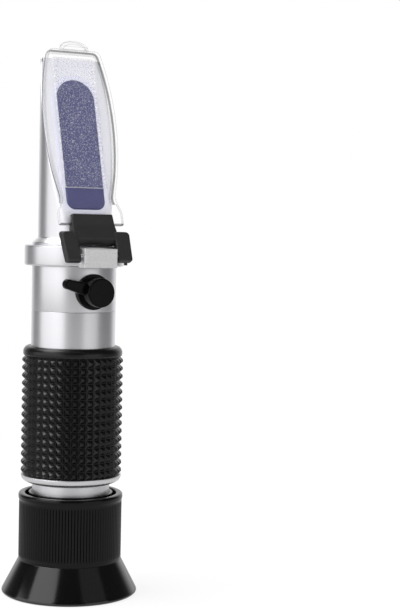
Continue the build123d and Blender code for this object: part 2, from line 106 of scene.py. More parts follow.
class Term:
    """A shader socket in an expression. Each operator adds its Math node."""

    def __init__(self, shader: "Shader", socket: bpy.types.NodeSocket) -> None:
        """Wraps an output socket of a shader's tree."""
        self.shader = shader
        self.socket = socket

    def _join(self, operation: str, first: Number, second: Number) -> "Term":
        """One Math node on two values."""
        return self.shader.term("ShaderNodeMath", {"operation": operation}, {0: first, 1: second})

    def __add__(self, other: Number) -> "Term":
        """Sum."""
        return self._join("ADD", self, other)

    def __radd__(self, other: Number) -> "Term":
        """Sum, reflected."""
        return self._join("ADD", other, self)

    def __sub__(self, other: Number) -> "Term":
        """Difference."""
        return self._join("SUBTRACT", self, other)

    def __rsub__(self, other: Number) -> "Term":
        """Difference, reflected."""
        return self._join("SUBTRACT", other, self)

    def __mul__(self, other: Number) -> "Term":
        """Product."""
        return self._join("MULTIPLY", self, other)

    def __rmul__(self, other: Number) -> "Term":
        """Product, reflected."""
        return self._join("MULTIPLY", other, self)

    def __pow__(self, other: Number) -> "Term":
        """Power."""
        return self._join("POWER", self, other)

    def larger(self, other: Number) -> "Term":
        """The larger of two values."""
        return self._join("MAXIMUM", self, other)

    def fade(self, low: float, high: float) -> "Term":
        """A smooth step: 0 at low, 1 at high, and 3t^2 - 2t^3 between."""
        inputs = {"Value": self, "From Min": low, "From Max": high}
        return self.shader.term("ShaderNodeMapRange", {"interpolation_type": "SMOOTHSTEP"}, inputs)


class Shader:
    """The node tree of one material or of the world."""

    def __init__(self, tree: bpy.types.NodeTree) -> None:
        """Starts with an empty tree."""
        tree.nodes.clear()
        self.tree = tree

    def node(self, kind: str, settings: dict | None = None, inputs: dict | None = None) -> bpy.types.Node:
        """Adds a node.

        Args:
            kind: the node's type.
            settings: its own settings, set first.
            inputs: values or links of its sockets, by name or number.

        Returns:
            The node.
        """
        made = self.tree.nodes.new(kind)
        for name, value in (settings or {}).items():
            setattr(made, name, value)
        for name, value in (inputs or {}).items():
            if isinstance(value, Term):
                self.tree.links.new(value.socket, made.inputs[name])
            else:
                made.inputs[name].default_value = value
        return made

    def term(
        self, kind: str, settings: dict | None = None, inputs: dict | None = None, output: int | str = 0
    ) -> Term:
        """Adds a node, as node does, and wraps one of its outputs, by name or number."""
        return Term(self, self.node(kind, settings, inputs).outputs[output])

    def place(self) -> Term:
        """Object coordinates, in metres."""
        return self.term("ShaderNodeTexCoord", output="Object")

    def axes(self, vector: Term) -> list[Term]:
        """The three parts of a vector."""
        split = self.node("ShaderNodeSeparateXYZ", inputs={0: vector})
        return [Term(self, output) for output in split.outputs]

    def rays(self) -> list[Term]:
        """Whether a ray comes from the camera, off a glossy surface, or through a clear one: 1 or 0 each."""
        paths = self.node("ShaderNodeLightPath")
        names = ("Is Camera Ray", "Is Glossy Ray", "Is Transmission Ray")
        return [Term(self, paths.outputs[name]) for name in names]

    def stretched(self, vector: Term, scale: Sequence[float]) -> Term:
        """A vector scaled along each axis."""
        return self.term("ShaderNodeMapping", inputs={"Vector": vector, "Scale": tuple(scale)})

    def noise(self, vector: Term, scale: float, detail: float = 2.0) -> Term:
        """Noise between 0 and 1, from its cycles per metre and how many finer layers it has."""
        inputs = {"Vector": vector, "Scale": scale, "Detail": detail}
        return self.term("ShaderNodeTexNoise", {"noise_dimensions": "3D"}, inputs)

    def mix(self, factor: Number, low: Term | Sequence[float], high: Term | Sequence[float]) -> Term:
        """Blends two colours: a factor of 0 gives the first, and 1 the second."""
        return self.term("ShaderNodeMix", {"data_type": "RGBA"}, {0: factor, 6: low, 7: high}, 2)

    def bump(self, height: Term, depth: float, strength: float = 1.0) -> Term:
        """A normal from a height between 0 and 1, where 1 stands for the depth in metres."""
        inputs = {"Height": height, "Distance": depth, "Strength": strength}
        return self.term("ShaderNodeBump", inputs=inputs)

    def surface(self, inputs: dict) -> None:
        """Ends the tree with a Principled shader that has these values or links."""
        shader = self.term("ShaderNodeBsdfPrincipled", inputs=inputs)
        self.node("ShaderNodeOutputMaterial", inputs={"Surface": shader})


def grey(level: float) -> tuple[float, ...]:
    """A grey of that level, with full alpha."""
    return (level, level, level, 1.0)


@dataclass(frozen=True)
class Finish:
    """What every finish has: a name, a base colour and a roughness."""

    name: str
    color: tuple[float, float, float]
    roughness: float

    def build(self) -> bpy.types.Material:
        """Makes the material, once for each finish.

        Returns:
            The material.
        """
        made = bpy.data.materials.get(self.name)
        if made is None:
            made = bpy.data.materials.new(self.name)
            made.use_nodes = True
            made.diffuse_color = self.shade(1.0)
            self.nodes(Shader(made.node_tree))
        return made

    def shade(self, gain: float, lift: float = 0.0) -> tuple[float, ...]:
        """The colour times a gain, plus a lift, held at 1 or less, with full alpha."""
        return (*(min(1.0, part * gain + lift) for part in self.color), 1.0)

    def nodes(self, shader: Shader) -> None:
        """Fills the tree. Each kind of finish has its own."""
        raise NotImplementedError


@dataclass(frozen=True)
class Turned(Finish):
    """Metal off the lathe: a fine blasted grain over faint marks that run round the tube."""

    grain: float = 0.5
    marks: float = 0.5
    metallic: float = 1.0
    grain_scale: float = 5200.0
    mark_scale: tuple[float, ...] = (60.0, 60.0, 3600.0)
    cloud_scale: float = 90.0
    tone: float = 0.07
    relief: float = 3e-6

    def nodes(self, shader: Shader) -> None:
        """Grain is fine noise; the marks are noise squeezed along Z, so that it changes only up the tube."""
        place = shader.place()
        fine = shader.noise(place, self.grain_scale, 1.0)
        rings = shader.noise(shader.stretched(place, self.mark_scale), 1.0, 3.0)
        cloud = shader.noise(place, self.cloud_scale, 2.0)
        mottle = fine * 0.55 + rings * 0.25 + cloud * 0.2
        low, high = self.shade(1 - self.tone), self.shade(1 + 0.7 * self.tone)
        height = fine * self.grain + rings * self.marks
        shader.surface(
            {
                "Base Color": shader.mix(mottle, low, high),
                "Metallic": self.metallic,
                "Roughness": self.roughness - 0.04 + rings * 0.05 + fine * 0.04,
                "Normal": shader.bump(height, self.relief, 0.6),
            }
        )


@dataclass(frozen=True)
class Moulded(Finish):
    """Black rubber or plastic from a mould: a fine skin, faint cloudiness and a trace of dust."""

    grain: float = 0.5
    grain_scale: float = 3800.0
    cloud_scale: float = 130.0
    dust: float = 0.3
    dust_scale: float = 900.0
    dust_from: float = 0.56
    dust_full: float = 0.78
    gloss: float = 0.5
    relief: float = 8e-6

    def nodes(self, shader: Shader) -> None:
        """The skin is two layers of noise; dust is the high part of a coarser one."""
        place = shader.place()
        skin = shader.noise(place, self.grain_scale, 2.0)
        cloud = shader.noise(place, self.cloud_scale, 3.0)
        dust = shader.noise(place, self.dust_scale, 3.0).fade(self.dust_from, self.dust_full) * self.dust
        clean = shader.mix(skin * 0.5 + cloud * 0.5, self.shade(0.8), self.shade(1.25, 0.001))
        shader.surface(
            {
                "Base Color": shader.mix(dust, clean, self.shade(1.0, 0.03)),
                "Roughness": self.roughness - 0.06 + cloud * 0.08 + skin * 0.04 + dust * 0.1,
                "Specular IOR Level": self.gloss,
                "Normal": shader.bump(skin * self.grain + cloud * 0.2, self.relief, 0.5),
            }
        )


@dataclass(frozen=True)
class Clear(Finish):
    """Clear plastic: it lets most light by, and more of it stays where the surface turns away."""

    body: float = 0.15
    edge: float = 0.5
    power: float = 2.5
    flow_scale: tuple[float, ...] = (900.0, 90.0, 90.0)
    haze_scale: float = 240.0
    index: float = 1.49
    relief: float = 6e-6

    def nodes(self, shader: Shader) -> None:
        """Alpha runs from body, seen square on, to edge, seen along the surface."""
        place = shader.place()
        facing = shader.term("ShaderNodeLayerWeight", inputs={"Blend": 0.5}, output="Facing")
        flow = shader.noise(shader.stretched(place, self.flow_scale), 1.0, 2.0)
        haze = shader.noise(place, self.haze_scale, 2.0)
        alpha = self.body * 0.85 + haze * self.body * 0.3 + facing**self.power * (self.edge - self.body)
        shader.surface(
            {
                "Base Color": shader.mix(flow, self.shade(0.94), self.shade(1.0)),
                "Roughness": self.roughness + haze * 0.03,
                "Alpha": alpha,
                "IOR": self.index,
                "Normal": shader.bump(flow, self.relief, 0.3),
            }
        )


@dataclass(frozen=True)
class Frosted(Finish):
    """Ground plastic: a fine bright speckle over a thin veil."""

    veil: float = 0.12
    speckle: float = 0.5
    grit_scale: float = 3400.0
    fine_scale: float = 5000.0
    speckle_from: float = 0.5
    speckle_full: float = 0.62
    relief: float = 1.2e-5

    def nodes(self, shader: Shader) -> None:
        """Alpha is the veil plus the high part of fine noise, so that what lies behind looks grainy."""
        place = shader.place()
        grit = shader.noise(place, self.grit_scale, 1.0)
        fine = shader.noise(place, self.fine_scale, 1.0)
        grain = (grit * 0.8 + fine * 0.2).fade(self.speckle_from, self.speckle_full)
        shader.surface(
            {
                "Base Color": shader.mix(grain, self.shade(0.8), self.shade(1.0)),
                "Roughness": self.roughness,
                "Alpha": self.veil + grain * self.speckle,
                "Normal": shader.bump(grit, self.relief, 0.6),
            }
        )


@dataclass(frozen=True)
class Polished(Finish):
    """Polished glass or smooth cement: an even colour, a faint haze and a little unevenness."""

    alpha: float = 1.0
    variation: float = 0.08
    haze_scale: float = 160.0
    fine_scale: float = 2400.0
    relief: float = 2e-6

    def nodes(self, shader: Shader) -> None:
        """Colour and roughness follow soft noise."""
        place = shader.place()
        haze = shader.noise(place, self.haze_scale, 3.0)
        fine = shader.noise(place, self.fine_scale, 2.0)
        low, high = self.shade(1 - self.variation), self.shade(1 + self.variation)
        shader.surface(
            {
                "Base Color": shader.mix(haze * 0.6 + fine * 0.4, low, high),
                "Roughness": self.roughness + haze * 0.05,
                "Alpha": self.alpha,
                "Normal": shader.bump(fine, self.relief, 0.4),
            }
        )


SATIN_METAL = Turned("satin_aluminium", (0.80, 0.80, 0.825), 0.33)
MILLED_FACE = Turned("milled_face", (0.87, 0.87, 0.92), 0.5, marks=0.1, metallic=0.1)
BLASTED_METAL = Turned(
    "blasted_aluminium",
    (0.78, 0.78, 0.79),
    0.5,
    grain=3.0,
    marks=0.0,
    metallic=0.7,
    grain_scale=2400.0,
    tone=0.35,
)
DARK_METAL = Turned("black_anodised", (0.03, 0.03, 0.032), 0.5, metallic=0.6)
TURNED_STEEL = Turned("turned_steel", (0.6, 0.6, 0.61), 0.28)
STRIP_METAL = Turned("rolled_strip", (0.7, 0.56, 0.3), 0.35, marks=0.8)
GRIP_RUBBER = Moulded("grip_rubber", (0.002, 0.002, 0.0022), 0.28, grain=0.3, dust=0.05, gloss=0.42)
CUP_RUBBER = Moulded("cup_rubber", (0.0007, 0.0007, 0.0008), 0.14, grain=0.1, dust=0.02, gloss=0.8)
CAP_RUBBER = Moulded("cap_rubber", (0.001, 0.001, 0.0012), 0.2, grain=0.25, dust=0.03, gloss=0.12)
RING_PLASTIC = Moulded("ring_plastic", (0.0005, 0.0005, 0.0006), 0.18, grain=0.1, dust=0.03, gloss=0.25)
CLAMP_PLASTIC = Moulded("clamp_plastic", (0.02, 0.02, 0.0205), 0.36, grain=0.4, dust=0.2, gloss=0.4)
CLEAR_FACE = Clear("clear_face", (0.82, 0.82, 0.87), 0.08, body=0.006, edge=0.35)
# Painted shade: a grey, half-opaque finish on the bevels and inner edges of the clear tray and tab, standing
# in for the dark lines that refraction draws along clear plastic's edges.
CLEAR_EDGE_PAINTED_SHADE = Clear("clear_edge_painted_shade", (0.45, 0.45, 0.47), 0.12, body=0.3, edge=0.7)
# Painted shade: a near-black, mostly opaque finish under the tray's rim and on the ears' bottoms, standing in
# for the dark edges that clear plastic shows there.
CLEAR_RIM_PAINTED_SHADE = Clear("clear_rim_painted_shade", (0.07, 0.07, 0.075), 0.12, body=0.7, edge=0.85)
FROSTED_PAD = Frosted("frosted_pad", (0.86, 0.88, 0.98), 0.5, veil=0.01, speckle=0.36)
# Painted highlight: a pale, half-opaque finish on the sides of the frosted pad, standing in for the bright
# line of light along the pad's lower edge.
PAD_EDGE_PAINTED_HIGHLIGHT = Frosted("pad_edge_painted_highlight", (0.92, 0.92, 0.95), 0.5, veil=0.55, speckle=0.3)
PRISM_GLASS = Polished("blue_prism", (0.077, 0.079, 0.19), 0.1, variation=0.05)
LENS_GLASS = Polished("polished_lens", (0.35, 0.4, 0.42), 0.03, alpha=0.3)
CEMENT = Polished("seal_cement", (0.78, 0.78, 0.9), 0.35)


def soften(profile: Corners, radius: Cut, steps: int = 5) -> np.ndarray:
    """Rounds the corners of an open outline.

    Corner P becomes the parabola (1-t)^2 A + 2t(1-t) P + t^2 C, where A and C lie on its two sides, `radius`
    from P but at most CUT_SHARE of the side. The two ends stay.

    Args:
        profile: the corners, two numbers each.
        radius: cut-back at each corner, one for all or one for each.
        steps: spans that a rounded corner gets.

    Returns:
        The points of the rounded outline.
    """
    points = np.asarray(profile, float)
    cut = np.broadcast_to(np.asarray(radius, float), (len(points),))[1:-1, None]
    corner, back, ahead = points[1:-1], points[:-2] - points[1:-1], points[2:] - points[1:-1]
    back_length = np.linalg.norm(back, axis=1, keepdims=True)
    ahead_length = np.linalg.norm(ahead, axis=1, keepdims=True)
    start = corner + back / back_length * np.minimum(cut, CUT_SHARE * back_length)
    end = corner + ahead / ahead_length * np.minimum(cut, CUT_SHARE * ahead_length)
    t = np.linspace(0, 1, steps + 1)[None, :, None]
    bend = (1 - t) ** 2 * start[:, None] + 2 * t * (1 - t) * corner[:, None] + t**2 * end[:, None]
    return np.concatenate([points[:1], bend.reshape(-1, 2), points[-1:]])


def soften_loop(outline: Corners, radius: Cut, steps: int = 5) -> np.ndarray:
    """Rounds every corner of a closed outline, as soften does.

    Args:
        outline: the corners, in order, without the first again at the end.
        radius: cut-back at each corner, one for all or one for each.
        steps: spans that a rounded corner gets.

    Returns:
        The points of the loop, without the first again at the end.
    """
    points = np.asarray(outline, float)
    cut = np.broadcast_to(np.asarray(radius, float), (len(points),))
    around = np.concatenate([points[-1:], points, points[:1]])
    return soften(around, np.concatenate([cut[-1:], cut, cut[:1]]), steps)[1:-1]


def closed(loop: np.ndarray) -> np.ndarray:
    """A loop with its first point again at the end."""
    return np.concatenate([loop, loop[:1]])


def whole(half: np.ndarray) -> np.ndarray:
    """A loop from its right half, which starts and ends on the middle line, and the half's mirror image."""
    return np.concatenate([half, half[-2:0:-1] * (-1, 1)])


def even(points: np.ndarray, step: float) -> np.ndarray:
    """An open outline resampled at even steps along its length.

    Args:
        points: the outline.
        step: about how far apart the new points are.

    Returns:
        The new points.
    """
    reach = np.concatenate([[0.0], np.cumsum(np.linalg.norm(np.diff(points, axis=0), axis=1))])
    stations = np.linspace(0, reach[-1], max(2, round(reach[-1] / step) + 1))
    return np.stack([np.interp(stations, reach, points[:, axis]) for axis in (0, 1)], axis=1)


def inward(loop: np.ndarray) -> np.ndarray:
    """Unit normals into a loop that runs anticlockwise: the chord past each point, turned left."""
    chord = np.roll(loop, -1, axis=0) - np.roll(loop, 1, axis=0)
    normal = np.stack([-chord[:, 1], chord[:, 0]], axis=1)
    return normal / np.linalg.norm(normal, axis=1, keepdims=True)


def box_loop(low: Sequence[float], high: Sequence[float], radius: float, spans: int = 12) -> np.ndarray:
    """A rectangle with rounded corners, and with its straight sides divided.

    Args:
        low: its lowest corner.
        high: its highest corner.
        radius: how far each corner is cut back.
        spans: spans along each side.

    Returns:
        The loop, anticlockwise, always with the same number of points.
    """
    corners = [(low[0], low[1]), (high[0], low[1]), (high[0], high[1]), (low[0], high[1])]
    steps = 4
    loop = closed(soften_loop(corners, radius, steps))
    index = np.arange(len(loop))
    along = np.linspace(0, 1, spans + 1)
    sides = [corner * (steps + 1) + steps + along for corner in range(4)]
    places = np.unique(np.concatenate([index, *sides]))[:-1]
    return np.stack([np.interp(places, index, loop[:, axis]) for axis in (0, 1)], axis=1)


def rounding(distance: float, radius: float) -> float:
    """How far a quarter round draws a side in, at a distance from its end."""
    left = max(radius - distance, 0.0)
    return radius - math.sqrt(max(radius**2 - left**2, 0.0))


def revolve(radius: np.ndarray, height: np.ndarray, angle: np.ndarray) -> np.ndarray:
    """Points (r cos a, r sin a, z) about Z, from arrays that spread over rows and columns."""
    radius, height, angle = np.broadcast_arrays(radius, height, angle)
    return np.stack([radius * np.cos(angle), radius * np.sin(angle), height], axis=-1)


def lathe(profile: np.ndarray, columns: int) -> np.ndarray:
    """A profile of radius and height turned about Z.

    Args:
        profile: radius and height of each row.
        columns: how many angles.

    Returns:
        The grid, rows by columns by 3.
    """
    angle = np.linspace(0, 2 * np.pi, columns, endpoint=False)
    return revolve(profile[:, :1], profile[:, 1:], angle)


def to_slope(across: np.ndarray, up: np.ndarray, out: np.ndarray | float) -> np.ndarray:
    """Places slope coordinates in the frame: across along X, up the slope, and out of the cover's face."""
    across, up, out = np.broadcast_arrays(across, up, out)
    y, z = FACE_Y + SINE * up - COSINE * out, FACE_Z + COSINE * up + SINE * out
    return np.stack([across, y, z], axis=-1)


def carried(loop: np.ndarray, stations: Corners) -> np.ndarray:
    """A loop on the slope carried through stations of (inset, out), one row for each."""
    normal = inward(loop)
    return np.stack([to_slope(*(loop + normal * inset).T, out) for inset, out in stations])


def on_slope(height: float) -> float:
    """Distance up the slope from the middle of the cover to a height."""
    return (height - FACE_Z) / COSINE


@dataclass
class Skin:
    """Vertices and faces gathered from grids."""

    points: list[np.ndarray] = field(default_factory=list)
    faces: list[list[int]] = field(default_factory=list)
    slots: list[int] = field(default_factory=list)
    count: int = 0

    def grid(
        self,
        points: np.ndarray,
        wrap: bool = False,
        slot: int | np.ndarray = 0,
        ridges: np.ndarray | None = None,
    ) -> "Skin":
        """Adds a grid: one four-sided face between each two rows and columns.

        Args:
            points: rows by columns by 3.
            wrap: joins the last column to the first.
            slot: the faces' material slot, one for all or an array that spreads over rows by columns.
            ridges: a height for each point, which makes two triangles of each face, with the edge between
                them along the diagonal that climbs more.

        Returns:
            The skin itself.
        """
        rows, columns = points.shape[:2]
        index = self.count + np.arange(rows * columns).reshape(rows, columns)
        if wrap:
            index = np.concatenate([index, index[:, :1]], axis=1)
        quads = np.stack([index[:-1, :-1], index[:-1, 1:], index[1:, 1:], index[1:, :-1]], axis=-1)
        faces = quads.reshape(-1, 4)
        slots = np.broadcast_to(slot, quads.shape[:2]).ravel()
        if ridges is not None:
            height = ridges.ravel()[faces - self.count]
            turned = np.abs(height[:, 0] - height[:, 2]) < np.abs(height[:, 1] - height[:, 3])
            faces = np.where(turned[:, None], np.roll(faces, -1, axis=1), faces)
            faces = np.concatenate([faces[:, [0, 1, 2]], faces[:, [0, 2, 3]]])
            slots = np.tile(slots, 2)
        self.points.append(points.reshape(-1, 3))
        self.faces.extend(faces.tolist())
        self.slots.extend(slots.tolist())
        self.count += rows * columns
        return self

    def lid(self, loop: np.ndarray, slot: int = 0) -> "Skin":
        """Adds one flat face inside a loop of points."""
        self.points.append(loop)
        self.slots.append(slot)
        self.faces.append(list(range(self.count, self.count + len(loop))))
        self.count += len(loop)
        return self

    def mesh(self, name: str, sharp: float = SMOOTH_ANGLE) -> bpy.types.Object:
        """Makes the object: doubles merged, faces turned outwards, smooth but for its sharp edges.

        Args:
            name: the piece's name.
            sharp: the angle from which an edge stays sharp.

        Returns:
            The object, at the origin.
        """
        data = bpy.data.meshes.new(name)
        data.from_pydata(np.concatenate(self.points) * MM, [], self.faces)
        data.polygons.foreach_set("material_index", self.slots)
        work = bmesh.new()
        work.from_mesh(data)
        bmesh.ops.remove_doubles(work, verts=work.verts, dist=WELD)
        bmesh.ops.dissolve_degenerate(work, edges=work.edges, dist=WELD)
        bmesh.ops.recalc_face_normals(work, faces=work.faces)
        work.to_mesh(data)
        work.free()
        data.polygons.foreach_set("use_smooth", np.ones(len(data.polygons), bool))
        data.set_sharp_from_angle(angle=sharp)
        made = bpy.data.objects.new(name, data)
        bpy.context.scene.collection.objects.link(made)
        return made

    def piece(
        self, name: str, node: str, body: Body, slot: Slot, *finishes: Finish, sharp: float = SMOOTH_ANGLE
    ) -> None:
        """Makes a piece, dresses it, rides it on its body, hides the CAD node that it replaces and logs its
        name, face count and body.

        Args:
            name: the piece's name.
            node: the CAD node that it replaces.
            body: the CAD body that it moves with.
            slot: the record's material slot; not used.
            finishes: one finish for each of its own material slots.
            sharp: the angle from which an edge stays sharp.
        """
        made = self.mesh(name, sharp)
        for item in finishes:
            made.data.materials.append(item.build())
        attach(made, body.value)
        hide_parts(node)
        log.info("%s: %d faces on %s", name, len(made.data.polygons), body.value)


@dataclass
class Tube:
    """The turned body: tube in two lengths, collar, end ring and neck."""

    radius: float = TUBE_RADIUS
    bore: float = 10.6
    spigot: float = SPIGOT_RADIUS
    neck: float = 11.45
    collar: float = 14.6
    low: float = 34.2
    shelf: float = 40.0
    seam: float = 83.8
    joint: float = 87.0
    top: float = 97.0
    columns: int = 160

    def turned(self, name: str, profile: Corners, radius: Cut, steps: int = 4) -> None:
        """Turns a closed profile with rounded corners.

        Args:
            name: the CAD node that it replaces, and the piece's name.
            profile: corners of radius and height.
            radius: how far each corner is cut back, one for all or one for each.
            steps: spans in each rounded corner.
        """
        grid = lathe(closed(soften_loop(profile, radius, steps)), self.columns)
        Skin().grid(grid, wrap=True).piece(name + "_turned", name, Body.ROOT, Slot.METAL, SATIN_METAL)

    def build(self) -> None:
        """Turns the five pieces."""
        neck, bore, spigot, radius, collar = self.neck, self.bore, self.spigot, self.radius, self.collar
        low, shelf, seam, joint, top = self.low, self.shelf, self.seam, self.joint, self.top
        self.turned(
            "main_tube",
            [(neck, low), (radius, low), (radius, seam), (spigot, seam)]
            + [(spigot, joint), (bore, joint), (bore, shelf), (neck, shelf)],
            0.16,
        )
        self.turned(
            "upper_tube",
            [(spigot, seam), (radius, seam), (radius, top), (spigot, top)]
            + [(spigot, HEAD_SEAT), (bore, HEAD_SEAT), (bore, joint), (spigot, joint)],
            0.16,
        )
        corners = [(spigot, top), (collar, top), (collar, COLLAR_TOP), (spigot, COLLAR_TOP)]
        self.turned("collar_ring", corners, 0.55, 6)
        self.turned(
            "end_ring",
            [(neck, 33.0), (12.65, 33.0), (14.35, 33.75), (14.8, 34.7), (14.8, GRIP_FOOT)]
            + [(radius, GRIP_FOOT), (radius, low), (neck, low)],
            [0.1, 0.3, 0.7, 0.5, 0.12, 0.1, 0.1, 0.1],
        )
        self.turned("focus_neck", [(9.85, 20), (neck, 20), (neck, shelf), (9.85, shelf)], 0.1)


@dataclass
class Grip:
    """Rubber sleeve: rows of pyramid studs under a smooth bead."""

    outer: float = 14.85
    inner: float = TUBE_RADIUS
    depth: float = 0.85
    low: float = GRIP_FOOT
    bead: float = 70.3
    top: float = 73.3
    rows: int = 15
    studs: int = 40
    groove: float = 0.06
    tip: float = 0.2

    def stud_field(self) -> tuple[np.ndarray, np.ndarray, np.ndarray]:
        """Heights of the studs.

        In each cell, u and v run from -1 to 1, and the height is (1 - groove - max(|u|, |v|)) over
        (1 - groove - tip), held between 0 and 1: a pyramid with a small flat tip and a narrow flat groove.

        Returns:
            The angle of each column, the height of each row, and the stud height of each point, 0 to 1.
        """
        stations = np.array([-1.0, -1 + self.groove, -self.tip, self.tip, 1 - self.groove])
        across = np.tile(stations, self.studs)
        angle = (np.repeat(np.arange(self.studs), len(stations)) + 0.5 + across / 2) * 2 * np.pi / self.studs
        up = np.append(np.tile(stations, self.rows), 1.0)
        cell = np.append(np.repeat(np.arange(self.rows), len(stations)), self.rows - 1)
        height = self.low + (cell + 0.5 + up / 2) * (self.bead - self.low) / self.rows
        reach = np.maximum(np.abs(across)[None, :], np.abs(up)[:, None])
        rise = np.clip((1 - self.groove - reach) / (1 - self.groove - self.tip), 0, 1)
        return angle, height, rise

    def build(self) -> None:
        """Wraps the stud field round the sleeve, and closes it over the bead and the bore."""
        angle, height, rise = self.stud_field()
        radius = self.outer - self.depth * (1 - rise)
        root = self.outer - self.depth
        bead = soften(
            [(root, self.bead), (14.2, self.bead + 0.1), (14.6, self.bead + 0.5), (14.6, self.top - 1.2)]
            + [(13.95, self.top - 0.3), (13.35, self.top), (self.inner, self.top)],
            [0, 0.1, 0.3, 0.7, 0.5, 0.3, 0],
            6,
        )
        closing = np.array([(self.inner, self.top), (self.inner, self.low), (root, self.low)])
        plain = np.concatenate([bead, closing[1:]])
        skin = Skin().grid(revolve(radius, height[:, None], angle), wrap=True, ridges=rise)
        skin.grid(revolve(plain[:, :1], plain[:, 1:], angle), wrap=True)
        sharp = math.radians(24)
        skin.piece("grip_studs", "grip_sleeve", Body.ROOT, Slot.RUBBER, GRIP_RUBBER, sharp=sharp)


@dataclass
class Eyepiece:
    """The ribbed focus ring and the rubber eyecup that turn together."""

    ring_radius: float = 15.2
    rim_radius: float = 15.4
    ribs: int = 104
    rib_depth: float = 0.25
    groove: float = 0.28
    rib_low: float = 11.0
    rib_top: float = 27.6
    rib_fade: float = 0.5
    zone_low: float = 10.4
    zone_top: float = 27.5
    zone_rows: int = 44
    step: float = 13.5
    per_rib: int = 6

    def ring(self) -> None:
        """The focus ring.

        Between the heights of the ribs the radius is cut back by depth * (1 - |u| / groove), held at 0 or
        more, where u is how many pitches the nearest groove is away. The cut fades out at both ends.
        """
        outline = soften_loop(
            [(11.5, 11.8), (11.5, 30.0), (12.4, 30.0), (12.4, 27.5), (self.step, 27.5), (self.step, 29.8)]
            + [(self.rim_radius, 29.8), (self.rim_radius, 28.2), (self.ring_radius, 27.9)]
            + [(self.ring_radius, 10.1), (13.0, 10.1), (13.0, 8.6), (9.85, 8.6), (9.85, 11.8)],
            [0.1, 0.3, 0.3, 0.3, 0.3, 0.4, 0.75, 0.6, 0.3, 0.05, 0.1, 0.1, 0.1, 0.1],
        )
        zone = np.linspace(self.zone_top, self.zone_low, self.zone_rows)
        zone = np.stack([np.full(self.zone_rows, self.ring_radius), zone], axis=1)
        near = self.ring_radius - 0.01
        above = np.flatnonzero((outline[:, 0] > near) & (outline[:, 1] > self.zone_top))[-1]
        below = np.flatnonzero((outline[:, 0] > self.step) & (outline[:, 1] < self.zone_low))[0]
        outline = np.concatenate([outline[: above + 1], zone, outline[below:]])
        columns = self.ribs * self.per_rib
        grid = lathe(closed(outline), columns)
        angle = np.linspace(0, 2 * np.pi, columns, endpoint=False)
        height = grid[:, :1, 2]
        radius = np.hypot(grid[..., 0], grid[..., 1])
        inside = (radius > near) * np.clip((height - self.rib_low) / self.rib_fade, 0, 1)
        inside = inside * np.clip((self.rib_top - height) / self.rib_fade, 0, 1)
        pitches = (self.ribs * angle / (2 * np.pi) + 0.5) % 1 - 0.5
        wave = np.clip(1 - np.abs(pitches) / self.groove, 0, 1)
        share = 1 - self.rib_depth * inside * wave / radius
        grid[..., :2] *= share[..., None]
        skin = Skin().grid(grid, wrap=True)
        skin.piece("focus_ring_ribbed", "focus_ring", Body.FOCUS, Slot.PLASTIC, RING_PLASTIC)

    def cup(self) -> None:
        """The eyecup: a flared cone with a rounded rim, turned."""
        outline = soften_loop(
            [(18.4, 0), (19.4, 0), (20, 0.5), (20, 0.9), (15.2, 10.1), (13, 10.1)]
            + [(13, 8.6), (9.2, 8.6), (9.2, 7.4), (14.4, 7.4)],
            [0.4, 0.3, 0.3, 0.6, 0.12, 0.1, 0.1, 0.2, 0.3, 1.0],
        )
        skin = Skin().grid(lathe(closed(outline), 192), wrap=True)
        skin.piece("eyecup_cone", "eyecup", Body.FOCUS, Slot.RUBBER, CUP_RUBBER)

    def build(self) -> None:
        """Both pieces."""
        self.ring()
        self.cup()


